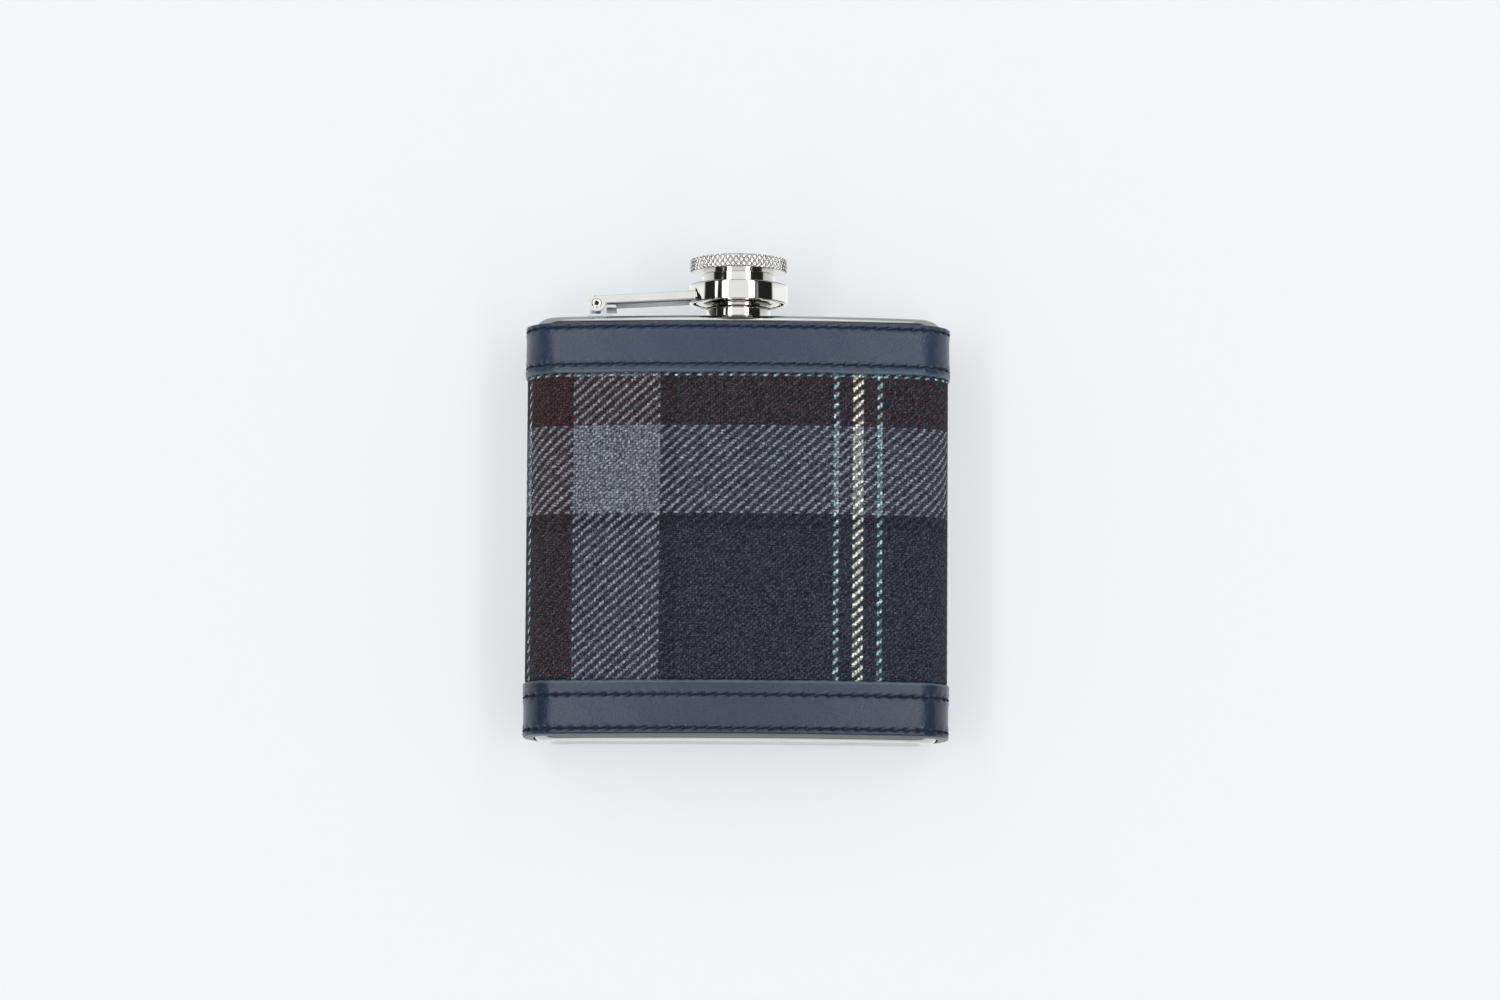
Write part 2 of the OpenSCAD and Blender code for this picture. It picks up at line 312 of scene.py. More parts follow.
FLAT_DEGREES = 2
SHARP_DEGREES = 30


def rounded_copy(name, node, width):
    """A copy of a CAD node with its sharp edges rounded."""
    obj = linked(name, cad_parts[node].data.copy())
    bm = opened(obj.data)
    bmesh.ops.remove_doubles(bm, verts=bm.verts, dist=MERGE_COARSE * MM)
    bmesh.ops.dissolve_limit(bm, angle_limit=math.radians(FLAT_DEGREES), verts=bm.verts, edges=bm.edges)
    corner = math.radians(SHARP_DEGREES)
    sharp = [e for e in bm.edges if len(e.link_faces) == 2 and e.calc_face_angle(0) > corner]
    bmesh.ops.bevel(bm, geom=sharp, offset=width * MM, segments=3, profile=0.5, affect="EDGES",
                    clamp_overlap=True)
    bmesh.ops.recalc_face_normals(bm, faces=bm.faces)
    store(bm, obj.data)
    sharpen(obj, SHARP_DEGREES)
    return obj


def finish_piece(obj, body, material, *nodes, slot=None):
    """Gives a piece its material, its body and the CAD nodes that it stands for."""
    obj.data.materials.clear()
    obj.data.materials.append(material)
    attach(obj, body)
    if nodes:
        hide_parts(*nodes)
    return obj


# ---- materials ----

class Nodes:
    """A node tree, with short calls that add a node and return its output."""

    def __init__(self, tree):
        self.tree = tree

    def node(self, kind, **settings):
        n = self.tree.nodes.new(kind)
        for key, value in settings.items():
            setattr(n, key, value)
        return n

    def plug(self, socket, value):
        if hasattr(value, "node"):
            self.tree.links.new(value, socket)
        else:
            socket.default_value = value

    def plug_all(self, n, *values):
        """Gives a node's first inputs these values and returns its first output."""
        for socket, value in zip(n.inputs, values):
            self.plug(socket, value)
        return n.outputs[0]

    def math(self, operation, a, b=0.0, c=0.0):
        return self.plug_all(self.node("ShaderNodeMath", operation=operation), a, b, c)

    def times(self, first, *others):
        for other in others:
            first = self.math("MULTIPLY", first, other)
        return first

    def plus(self, first, *others):
        for other in others:
            first = self.math("ADD", first, other)
        return first

    def range(self, value, low, high, to_low, to_high):
        return self.plug_all(self.node("ShaderNodeMapRange"), value, low, high, to_low, to_high)

    def split(self, vector):
        n = self.node("ShaderNodeSeparateXYZ")
        self.plug(n.inputs[0], vector)
        return n.outputs

    def join(self, x, y, z=0.0):
        return self.plug_all(self.node("ShaderNodeCombineXYZ"), x, y, z)


class Shader(Nodes):
    """A material's node tree. Lengths in it are millimetres on the map "mm" and metres elsewhere."""

    def __init__(self, name):
        self.material = bpy.data.materials.new(name)
        self.material.use_nodes = True
        super().__init__(self.material.node_tree)
        self.surface = self.tree.nodes["Principled BSDF"]

    def mix(self, factor, a, b):
        n = self.node("ShaderNodeMix", data_type="RGBA")
        self.plug(n.inputs[0], factor)
        self.plug(n.inputs[6], a)
        self.plug(n.inputs[7], b)
        return n.outputs[2]

    def scale_colour(self, colour, factor):
        n = self.node("ShaderNodeVectorMath", operation="SCALE")
        self.plug(n.inputs[0], colour)
        self.plug(n.inputs[3], factor)
        return n.outputs[0]

    def uv(self):
        return self.node("ShaderNodeUVMap", uv_map="mm").outputs[0]

    def place(self):
        return self.node("ShaderNodeTexCoord").outputs["Object"]

    def stretch(self, vector, scale):
        n = self.node("ShaderNodeMapping")
        self.plug(n.inputs[0], vector)
        n.inputs[3].default_value = scale
        return n.outputs[0]

    def noise(self, vector, scale, detail=2.0, rough=0.5, output="Fac"):
        n = self.node("ShaderNodeTexNoise")
        self.plug(n.inputs["Vector"], vector)
        n.inputs["Scale"].default_value = scale
        n.inputs["Detail"].default_value = detail
        n.inputs["Roughness"].default_value = rough
        return n.outputs[output]

    def random(self, *values):
        n = self.node("ShaderNodeTexWhiteNoise", noise_dimensions="3D")
        self.plug(n.inputs["Vector"], self.join(*values))
        return n.outputs["Value"]

    def bands(self, value, stops):
        """The colour of the last stop that value has passed, from pairs of a place and a colour."""
        n = self.node("ShaderNodeValToRGB")
        n.color_ramp.interpolation = "CONSTANT"
        elements = n.color_ramp.elements
        while len(elements) < len(stops):
            elements.new(1.0)
        for element, (at, colour) in zip(elements, stops):
            element.position = at
            element.color = (*colour, 1.0)
        self.plug(n.inputs[0], value)
        return n.outputs[0]

    def bump(self, height, distance):
        n = self.node("ShaderNodeBump")
        n.inputs["Strength"].default_value = 1.0
        n.inputs["Distance"].default_value = distance * MM
        self.plug(n.inputs["Height"], height)
        self.plug(self.surface.inputs["Normal"], n.outputs[0])

    def set(self, **values):
        for key, value in values.items():
            self.plug(self.surface.inputs[key.replace("_", " ")], value)


# The twill repeats every four yarns, and each yarn passes over two
TWILL_REPEAT = 4
TWILL_UP = 2

# Check of the cloth: the distance from the middle of the cream stripe to the end of each stripe,
# in warp ends, and its yarn. Past the last stripe the order runs backwards. The weft's stripes are
# as wide as the warp's.
YARNS = {
    "cream": (0.6, 0.59, 0.53),
    "sky": (0.26, 0.39, 0.42),
    "navy": (0.0245, 0.0285, 0.042),
    "black": (0.011, 0.014, 0.02),
    "grey": (0.148, 0.159, 0.186),
    "maroon": (0.034, 0.0145, 0.018),
}
STRIPES = [(2, "cream"), (7, "navy"), (9, "sky"), (66, "navy"), (72, "black"), (104, "grey"),
           (122, "maroon"), (123, "sky")]
WARP_PITCH = 0.617
WEFT_PITCH = 0.553
CHECK_HALF = STRIPES[-1][0] * WARP_PITCH
ENDS_TO_CREAM = 44
WARP_CENTRE = ENDS_TO_CREAM * WARP_PITCH
WEFT_CENTRE = 5.9


def cloth_material():
    """Woollen cloth in a two by two twill. Each float of yarn is a soft slanting grain with its own shade,
    painted darker at its edges and lighter on top as painted shade and painted highlight, and fibres cross
    from one to the next. Painted shadow darkens the cloth along the leather lips."""
    m = Shader("woollen_check")
    flat = m.uv()
    u, v, _ = m.split(flat)
    wander = m.split(m.noise(flat, 2.6, output="Color"))
    wander_u, wander_v = 0.62, 0.52
    a = m.math("MULTIPLY_ADD", m.math("SUBTRACT", wander[0], 0.5), wander_u, u)
    b = m.math("MULTIPLY_ADD", m.math("SUBTRACT", wander[1], 0.5), wander_v, v)
    a = m.math("DIVIDE", a, WARP_PITCH)
    b = m.math("DIVIDE", b, WEFT_PITCH)
    end, pick = m.math("FLOOR", a), m.math("FLOOR", b)
    across_end, across_pick = m.math("FRACT", a), m.math("FRACT", b)
    phase = m.math("FLOORED_MODULO", m.math("SUBTRACT", end, pick), TWILL_REPEAT)
    warp_up = m.math("LESS_THAN", phase, TWILL_UP - 0.5)

    def stripe(index, pitch, centre):
        middle = m.math("MULTIPLY_ADD", index, pitch, 0.5 * pitch - centre)
        folded = m.math("DIVIDE", m.math("PINGPONG", middle, CHECK_HALF), CHECK_HALF)
        starts = [0.0] + [ends * WARP_PITCH / CHECK_HALF for ends, _ in STRIPES[:-1]]
        return m.bands(folded, [(at, YARNS[yarn]) for at, (_, yarn) in zip(starts, STRIPES)])

    warp = stripe(end, WARP_PITCH, WARP_CENTRE)
    weft = stripe(pick, WEFT_PITCH, WEFT_CENTRE)
    yarn = m.mix(warp_up, weft, warp)
    under = m.mix(warp_up, warp, weft)

    # Where a point lies across its yarn and along its float of two crossings, from -1 to 1
    warp_along = m.plus(across_pick, m.math("LESS_THAN", phase, 0.5))
    weft_along = m.plus(across_end, m.math("GREATER_THAN", phase, TWILL_REPEAT - 1.5))
    weft_up = m.math("SUBTRACT", 1.0, warp_up)

    def choose(of_warp, of_weft):
        return m.plus(m.times(warp_up, of_warp), m.times(weft_up, of_weft))

    slant = -0.3
    across = m.math("MULTIPLY_ADD", choose(across_end, across_pick), 2.0, -1.0)
    along = m.math("SUBTRACT", choose(warp_along, weft_along), 1.0)
    leaning = m.math("MULTIPLY_ADD", along, slant, across)
    reach = m.math("SQRT", m.plus(m.times(leaning, leaning), m.times(along, along)))
    fine_scale = 3.6
    fine = m.join(m.times(u, fine_scale), m.times(v, fine_scale))
    fibre = m.noise(fine, 1.0, 3.0, 0.7)
    fibre_2 = m.noise(fine, 2.3, 2.0, 0.6)
    tuft = m.noise(flat, 0.8, 3.0)
    speck = m.noise(flat, 1.5, 3.0, 0.75)
    raggedness = 1.1
    ragged = m.math("MULTIPLY_ADD", m.math("SUBTRACT", fibre, 0.5), raggedness, reach)
    body = m.range(ragged, 0.55, 1.3, 1.0, 0.0)
    each = m.random(m.plus(end, 0.5), m.plus(pick, 0.5), warp_up)

    # Each shade: what it follows, the range of that, and how bright the cloth is at its two ends
    lip_top, lip_base = top_band_low[2], base_band_high[2]
    shades = [
        # Painted shade and highlight: each float is darkened towards its edges, where the gaps between
        # yarns lie in shade, and lightened on top.
        (body, 0.0, 1.0, 0.22, 1.35),
        (fibre, 0.38, 0.63, 0.22, 1.8),
        (fibre_2, 0.36, 0.66, 0.45, 1.55),
        (each, 0.0, 1.0, 0.5, 1.5),
        # Painted shadow: the cloth darkens towards each leather lip, where the lip shades it.
        (v, lip_top - 1.1, lip_top - 0.4, 1.0, 0.5),
        (v, lip_base + 0.1, lip_base + 0.9, 0.55, 1.0),
        (tuft, 0.3, 0.7, 0.9, 1.1),
        (speck, 0.36, 0.64, 0.4, 1.7),
    ]
    shade = m.times(*[m.range(*given) for given in shades])
    mingled = m.mix(m.range(body, 0.0, 0.6, 0.5, 0.0), yarn, under)
    colour = m.scale_colour(mingled, shade)

    # Pale single fibres that lie across the yarns in thin curved lines
    hair_width, hair_strength = 0.024, 0.46
    line = m.math("ABSOLUTE", m.math("SUBTRACT", m.noise(fine, 0.62, 1.0), 0.5))
    hair = m.times(m.range(line, 0.0, hair_width, 1.0, 0.0), m.range(fibre_2, 0.45, 0.6, 0.0, 1.0))
    colour = m.mix(m.times(hair, hair_strength), colour, (0.42, 0.44, 0.47, 1.0))
    m.set(Base_Color=colour, Roughness=0.95, Sheen_Weight=0.05, Sheen_Roughness=0.5)
    m.set(Specular_IOR_Level=0.12)
    m.bump(m.plus(body, m.times(fibre, 0.9), m.times(hair, 0.25)), 0.15)
    return m.material


def leather_material(name, colour, gloss, lip_z):
    """Glossy navy leather with a fine pebbled and creased grain, paler along its lip, partly from the cut
    edge's own paler colour and partly from a painted highlight on the rolled lip.
    """
    m = Shader(name)
    flat = m.uv()
    warped = m.node("ShaderNodeVectorMath", operation="MULTIPLY_ADD")
    m.plug_all(warped, m.noise(flat, 1.6, output="Color"), (0.5, 0.5, 0.5), flat)
    cells = m.node("ShaderNodeTexVoronoi", feature="SMOOTH_F1")
    m.plug(cells.inputs["Vector"], warped.outputs[0])
    cells.inputs["Scale"].default_value = 2.7
    cells.inputs["Smoothness"].default_value = 0.4
    pores = m.noise(flat, 6.0, 3.0, 0.6)
    crease = m.noise(m.stretch(flat, (0.5, 1.1, 1.0)), 1.3, 4.0, 0.62)
    broad = m.noise(flat, 0.12)
    pebble = m.math("SUBTRACT", 0.6, cells.outputs["Distance"])
    height = m.plus(m.times(pebble, 0.8), m.times(crease, 1.3), m.times(pores, 0.5))
    tone = m.times(m.range(height, 0.9, 1.7, 0.82, 1.14), m.range(broad, 0.3, 0.7, 0.94, 1.07))
    from_lip = m.math("ABSOLUTE", m.math("SUBTRACT", m.split(m.place())[2], lip_z * MM))
    # Paler along the lip: partly the cut edge's own paler colour, partly a painted highlight on the rolled
    # lip.
    lip_paler_edge_and_highlight = m.range(from_lip, 0.15 * MM, 0.55 * MM, 0.75, 0.0)
    lip_edged_colour = m.mix(lip_paler_edge_and_highlight, m.scale_colour(colour, tone), (0.07, 0.1, 0.13, 1.0))
    m.set(Base_Color=lip_edged_colour, Roughness=m.range(crease, 0.3, 0.7, 0.26, 0.36), Specular_IOR_Level=gloss)
    m.bump(height, 0.055)
    return m.material


def thread_material():
    """Twisted navy thread."""
    m = Shader("navy_thread")
    u, v, _ = m.split(m.uv())
    slant, turns = 1.3, 14.0
    twist = m.math("SINE", m.times(m.plus(u, m.times(v, slant)), turns))
    colour = m.scale_colour((0.01, 0.016, 0.032), m.range(twist, -1.0, 1.0, 0.5, 1.4))
    m.set(Base_Color=colour, Roughness=0.6, Specular_IOR_Level=0.3)
    m.bump(twist, 0.05)
    return m.material


CHROME = (0.78, 0.765, 0.74)


def steel(m, colour, tone, roughness):
    """Makes a material bare metal."""
    m.set(Base_Color=m.scale_colour(colour, tone), Metallic=1.0, Roughness=roughness)


def polished_material():
    """Mirror polished steel with faint buffing marks."""
    m = Shader("polished_steel")
    place = m.place()
    marks = m.noise(m.stretch(place, (900.0, 900.0, 5200.0)), 1.0, 3.0, 0.6)
    haze = m.noise(place, 240.0, 3.0)
    steel(m, CHROME, m.range(haze, 0.3, 0.7, 0.97, 1.03), m.range(haze, 0.3, 0.7, 0.042, 0.09))
    m.bump(marks, 0.002)
    return m.material


def satin_material():
    """Sheet steel, brushed round the flask."""
    m = Shader("satin_steel")
    place = m.place()
    marks = m.noise(m.stretch(place, (60.0, 60.0, 9000.0)), 1.0, 4.0, 0.7)
    haze = m.noise(place, 160.0, 3.0)
    tone = m.range(marks, 0.34, 0.66, 0.78, 1.12)
    steel(m, (0.63, 0.63, 0.62), tone, m.range(haze, 0.3, 0.7, 0.1, 0.2))
    m.bump(marks, 0.006)
    return m.material


def turned_material(core, low, high):
    """Turned steel, with a knurl from height low to high whose grooves, at the radius core, are darkened as
    painted shade.
    """
    m = Shader("turned_steel")
    place = m.place()
    x, y, z = m.split(place)
    y = m.math("SUBTRACT", y, AXIS_Y * MM)
    reach = m.math("SQRT", m.plus(m.times(x, x), m.times(y, y)))
    middle, half = (low + high) / 2, (high - low) / 2
    from_middle = m.math("ABSOLUTE", m.math("SUBTRACT", z, middle * MM))
    knurl = m.range(from_middle, half * MM, (half + 0.1) * MM, 1.0, 0.0)
    groove = m.times(knurl, m.range(reach, (core + 0.02) * MM, (core + 0.2) * MM, 1.0, 0.0))
    rings_per_mm = 40.0
    rings = m.math("SINE", m.times(reach, rings_per_mm / MM))
    grime = m.noise(place, 900.0, 3.0)
    # Painted shade: the knurl's grooves are darkened.
    dark = m.math("MULTIPLY_ADD", groove, -0.8, 1.0)
    rough = m.math("MULTIPLY_ADD", knurl, 0.08, m.range(grime, 0.3, 0.7, 0.1, 0.2))
    steel(m, CHROME, m.times(m.range(grime, 0.3, 0.7, 0.94, 1.04), dark), rough)
    m.bump(m.plus(rings, grime), 0.002)
    return m.material


def pressed_material():
    """The duller steel of the bracket and inside the pressed arm."""
    m = Shader("pressed_steel")
    haze = m.noise(m.place(), 500.0, 3.0)
    tone = m.range(haze, 0.3, 0.7, 0.92, 1.06)
    steel(m, (0.57, 0.58, 0.6), tone, m.range(haze, 0.3, 0.7, 0.38, 0.5))
    m.bump(haze, 0.01)
    return m.material


def plain_material(name, colour, roughness):
    """A soft even material with a faint mottle, for inner pieces."""
    m = Shader(name)
    mottle = m.noise(m.place(), 700.0, 3.0)
    m.set(Base_Color=m.scale_colour(colour, m.range(mottle, 0.3, 0.7, 0.88, 1.12)), Roughness=roughness)
    m.bump(mottle, 0.03)
    return m.material


cloth = cloth_material()
top_leather = leather_material("navy_leather_top", (0.021, 0.039, 0.077), 0.5, top_band_low[2])
# The base band is a darker copy of the same leather: painted shade, as the light falls off towards the
# bottom.
base_leather_painted_darker = leather_material("navy_leather_base", (0.0085, 0.0195, 0.049), 0.6, base_band_high[2])
thread = thread_material()
polished = polished_material()
satin = satin_material()
pressed = pressed_material()
card = plain_material("card", (0.42, 0.32, 0.2), 0.9)
# Near-black steel for the floor of each pin cup: painted shade in the hole.
painted_shade_steel = plain_material("painted_shade_steel", (0.03, 0.028, 0.027), 0.5)
seal_plastic = plain_material("seal_plastic", (0.72, 0.7, 0.62), 0.5)


# ---- cloth ----

def twill_up(s, z):
    """True where the warp yarn is on top."""
    end, pick = np.floor(s / WARP_PITCH), np.floor(z / WEFT_PITCH)
    return np.mod(end - pick, TWILL_REPEAT) < TWILL_UP - 0.5


CLOTH_INSET = 0.3
YARN_RELIEF = 0.035
TUCK_LENGTH = 0.9
SEAM_DEEP = 0.35
SEAM_HALF = 0.5


def make_cloth():
    """The cloth, tucked under the leather at both ends, with its twill as a real relief."""
    outline = Outline(CLOTH_D)
    s = ring_steps(outline.half, WARP_PITCH)
    low, high = cloth_low[2] + CLOTH_INSET, cloth_high[2] - CLOTH_INSET
    open_low, open_high = base_band_high[2], top_band_low[2]
    picks = np.arange(math.ceil(open_low / WEFT_PITCH) - 2, math.floor(open_high / WEFT_PITCH) + 3)
    heights = [low] + list((picks + 0.5) * WEFT_PITCH) + [high]
    outer = [(CLOTH_D, h) for h in heights]
    inner = [(CARD_D + 0.02, high), (CARD_D + 0.02, low)]

    def shift(s, d, z):
        tuck = np.maximum(open_low + 0.2 - z, z - open_high + 0.2)
        sink = np.clip(tuck / TUCK_LENGTH + 0.5, 0, 1) * (CLOTH_D - PRESSED_D)
        relief = np.where(twill_up(s, z), YARN_RELIEF, -YARN_RELIEF)
        seam = SEAM_DEEP * bell(np.abs(s) - outline.half, SEAM_HALF)
        outside = d > CARD_D + 0.1
        return np.where(outside, relief - sink - seam, 0), 0 * z

    # The map's second number is the height, so that the check has its place
    along = heights + [high, low, low]
    obj = swept("woollen_cloth", CLOTH_D, s, outer + inner, shift, along)
    finish_piece(obj, "flask", cloth, "cloth_wrap", slot="cloth")


# ---- leather bands and stitches ----

STITCH_PITCH = 2.8
STITCH_R = 0.23
STITCH_FLAT = 0.8
STITCH_GIRTH = 1.7
STITCH_SLANT = 0.16
STITCH_RISE = 0.55
HOLE_DEEP = 0.62
TOP_ROW_BELOW_HEM = 1.3
TOP_ROW_ABOVE_LIP = 1.8
BASE_ROW_ABOVE_HEM = 1.5
BASE_ROW_BELOW_LIP = 3.0

# The lip is rolled, stands out a little and reaches over the cloth. The hem turns in at the steel.
LIP_ROLL = 0.42
LIP_OUT = 0.12
LIP_REACH = 0.25
LIP_WAVE = 0.06
LIP_WANDER = 0.05
MIDDLE_IN = 0.05
HEM_D = -0.5
HEM_TURN = 0.6

# The leather swells beside a row, sinks along it, and dips at each hole
SWELL = 0.1
SWELL_OFF = 0.95
SINK = 0.2
HOLE_DIP = 0.3
STITCH_BULGE = 0.07
UNEVEN = 0.05
LEATHER_SEAM = 0.3


def stitch_places(z):
    """Distances of the stitches' holes round the leather, in a row at height z, and their spacing."""
    half = Outline(LEATHER_D).half
    count = int(round(2 * half / STITCH_PITCH))
    step = 2 * half / count
    start = -half + step * (0.5 + 0.31 * math.sin(z))
    return start + np.arange(count) * step, step


def make_band(name, node, leather, rows, lip_z, hem_z):
    """A leather band: a thick rolled lip over the cloth and a hem turned over at the steel."""
    up = 1 if hem_z > lip_z else -1
    half_round = Outline(LEATHER_D).half
    lip_d, mid_d = LEATHER_D + LIP_OUT, LEATHER_D - MIDDLE_IN
    inner_d = PRESSED_D + 0.03
    length = abs(hem_z - lip_z)
    outer = []
    for t in np.linspace(0, 1, 9):
        a = math.pi * (t - 0.5)
        radius = (lip_d - inner_d) / 2
        outer.append((inner_d + radius + radius * math.sin(a), LIP_ROLL * (1 - math.cos(a * 0.999))))
    for h in np.arange(0.7, length - 0.65, 0.25):
        ease = min(1, (h - 0.4) / 2.0)
        outer.append((lip_d + (mid_d - lip_d) * ease, h))
    for t in np.linspace(0, 1, 9):
        a = math.pi / 2 * t
        turned_d = HEM_D + (mid_d - HEM_D) * math.cos(a) ** 0.8
        outer.append((turned_d, length - HEM_TURN * (1 - math.sin(a))))
    inner = [(HEM_D, length - 0.1), (0.03, length - 1.4), (inner_d, length - 1.8), (inner_d, 0.6)]
    profile = [(d, lip_z + up * h) for d, h in outer + inner]
    if up > 0:
        profile = profile[::-1]

    def shift(s, d, z):
        outside = np.clip((d - inner_d) / 0.4, 0, 1)
        change = np.zeros_like(d)
        for row in rows:
            holes, step = stitch_places(row)
            to_hole = np.abs((s - holes[0] + step / 2) % step - step / 2)
            to_row = z - row
            change += SWELL * bell(np.abs(to_row) - SWELL_OFF, 0.5)
            change -= SINK * bell(to_row, 0.38)
            change -= HOLE_DIP * bell(to_hole, 0.36) * bell(to_row, 0.4)
            change += STITCH_BULGE * np.cos(2 * math.pi * (to_hole / step - 0.5)) * bell(to_row, 1.0)
        change += UNEVEN * np.sin(s * 0.43 + 1.7 * np.sin(z * 0.21)) * np.sin(s * 0.117 + z * 0.3)
        change -= LEATHER_SEAM * bell(np.abs(s) - half_round, 0.3)
        to_lip = z - lip_z
        wave = -up * LIP_REACH * fade(to_lip, 0.6)
        wave += LIP_WAVE * np.sin(s * 2 * math.pi / STITCH_PITCH + 1.0) * fade(to_lip, 1.0)
        wave += LIP_WANDER * np.sin(s * 0.31 + 2.0) * fade(to_lip, 1.5)
        return change * outside, wave * outside

    s = ring_steps(half_round, 0.3)
    obj = swept(name, LEATHER_D, s, profile, shift, lengths_along(profile))
    finish_piece(obj, "flask", leather, node, slot="leather")


def make_stitches(name, node, row):
    """A row of stitches. Each rises out of one hole, lies slightly slanted and dips into the next."""
    outline = Outline(LEATHER_D)
    holes, step = stitch_places(row)
    rings, sides = 11, 8
    t = np.linspace(0.0, 1.0, rings)
    lift = STITCH_RISE * np.sin(math.pi * np.clip(t, 0.02, 0.98)) ** 0.5 - HOLE_DEEP
    swell = 0.72 + 0.28 * np.sin(math.pi * t) ** 0.5
    turn = (2 * math.pi * np.arange(sides) / sides)[:, None]
    tube, cells = sheet_faces(rings, sides, False)
    tube += [range(sides - 1, -1, -1), range((rings - 1) * sides, rings * sides)]
    tube_uvs = grid_uvs(cells, np.arange(sides + 1) / sides * STITCH_GIRTH, step * t)
    tube_uvs += [(0.0, 0.0)] * 2 * sides
    verts, faces, uvs = [], [], []
    rng = np.random.default_rng(int(row * 100))
    for hole in holes:
        wobble = rng.uniform(-0.05, 0.05, 3)
        s = hole + step * (0.04 + 0.92 * t)
        s = (s + outline.half) % (2 * outline.half) - outline.half
        z = row + wobble[0] + (STITCH_SLANT + wobble[1]) * (t - 0.5) * 2
        p, n = outline.at(s)
        centre = np.concatenate([p + n * lift[:, None], z[:, None]], -1)
        along = np.gradient(centre, axis=0)
        along /= np.linalg.norm(along, axis=1)[:, None]
        out = np.concatenate([n, np.zeros((rings, 1))], -1)
        side = np.cross(along, out)
        side /= np.linalg.norm(side, axis=1)[:, None]
        up = np.cross(side, along)
        thick = STITCH_R * (1 + wobble[2]) * swell
        ring = np.cos(turn) * side[:, None] + STITCH_FLAT * np.sin(turn) * up[:, None]
        faces += [[len(verts) + index for index in face] for face in tube]
        verts += list((centre[:, None] + thick[:, None, None] * ring).reshape(-1, 3))
        uvs += tube_uvs
    obj = piece(name, verts, faces, uvs)
    finish_piece(obj, "flask", thread, node, slot="thread")


# ---- steel flask ----

def flat_fill(name, loops, z, up):
    """A flat face inside a loop of points and outside the loops after it."""
    bm = bmesh.new()
    edges = []
    for loop in loops:
        vs = [bm.verts.new((x * MM, y * MM, z * MM)) for x, y in loop]
        edges += [bm.edges.new((vs[i], vs[(i + 1) % len(vs)])) for i in range(len(vs))]
    bmesh.ops.triangle_fill(bm, edges=edges, use_beauty=True, normal=(0, 0, up))
    for f in bm.faces:
        if f.normal.z * up < 0:
            f.normal_flip()
    mesh = bpy.data.meshes.new(name)
    store(bm, mesh)
    return linked(name, mesh)


def merged(name, objects):
    """Joins objects into one and merges their common points."""
    bm = bmesh.new()
    for o in objects:
        bm.from_mesh(o.data)
    bmesh.ops.remove_doubles(bm, verts=bm.verts, dist=MERGE_COARSE * MM)
    bmesh.ops.recalc_face_normals(bm, faces=bm.faces)
    mesh = bpy.data.meshes.new(name)
    store(bm, mesh)
    for o in objects:
        bpy.data.objects.remove(o)
    obj = linked(name, mesh)
    sharpen(obj, 40)
    return obj


def open_sweep(name, s, profile):
    """Sweeps an open profile of (grown, height) round the outline. Also gives its last loop."""
    points, normals = Outline(0.0).at(s)
    d, z = columns(profile, len(s))
    xy = points[None] + normals[None] * d[..., None]
    verts = np.concatenate([xy, z[..., None]], -1).reshape(-1, 3)
    faces, _ = sheet_faces(len(profile), len(s), False)
    return piece(name, verts, faces), xy[-1]


def pan_sections(grown, straight_from, edge, up):
    """The section of a pressed pan from its skirt to the flat inside its rounded edge."""
    turn = arc(grown - EDGE_ROUND, edge - up * EDGE_ROUND, EDGE_ROUND, 0, up * 90, 14)
    return [(grown, straight_from)] + turn


# How far in the flat top starts, outside and inside the sheet, and the base's shallow panel
TOP_FACE_IN = 4.0
ROOF_FACE_IN = 4.6
PANEL = [(-3.6, 0.02), (-4.1, 0.1), (-4.6, 0.3), (-5.2, 0.42), (-5.9, 0.45)]
NECK_FIT = 0.05


def make_plates():
    """The top and base plates: pressed pans with a full rounded edge."""
    s = ring_steps(Outline(0.0).half, 1.0)
    start, roof = plate_low[2], STEEL_TOP - ROOF_T
    outside = pan_sections(0.0, start, STEEL_TOP, 1) + [(-TOP_FACE_IN, STEEL_TOP)]
    inside = [(0.0, start)] + pan_sections(-SHEET_T, start, roof, 1) + [(-ROOF_FACE_IN, roof)]
    skirt, loop = open_sweep("skirt", s, outside)
    neck_r = (neck_high[0] - neck_low[0]) / 2 - NECK_FIT
    circle = [(neck_r * math.sin(a), AXIS_Y - neck_r * math.cos(a))
              for a in np.linspace(0, 2 * math.pi, 96, endpoint=False)]
    lid = flat_fill("lid", [loop, circle], STEEL_TOP, 1)
    under, loop = open_sweep("under", s, inside)
    floor = flat_fill("floor", [loop, circle], roof, -1)
    rim_points = [(x, y, z) for z in (STEEL_TOP, roof) for x, y in circle]
    faces, _ = sheet_faces(2, len(circle), False)
    rim = piece("rim", rim_points, faces)
    top = merged("top_plate_smooth", [skirt, lid, under, floor, rim])
    finish_piece(top, "flask", satin, "top_plate", slot="steel")

    start = base_high[2]
    outside = pan_sections(0.0, start, 0.0, -1) + PANEL
    inside = [(0.0, start)] + pan_sections(-SHEET_T, start, ROOF_T, -1) + [(PANEL[-1][0], ROOF_T)]
    skirt, loop = open_sweep("skirt", s, outside)
    lid = flat_fill("lid", [loop], PANEL[-1][1], -1)
    under, loop = open_sweep("under", s, inside)
    floor = flat_fill("floor", [loop], ROOF_T, 1)
    base = merged("base_plate_smooth", [skirt, lid, under, floor])
    finish_piece(base, "flask", satin, "base_plate", slot="steel")


THREAD_PITCH = 1.5
THREAD_DEPTH = 0.3
THREAD_CREST = 1.6
THREAD_FLANK = 4.4
THREAD_RUN_OUT = 0.5


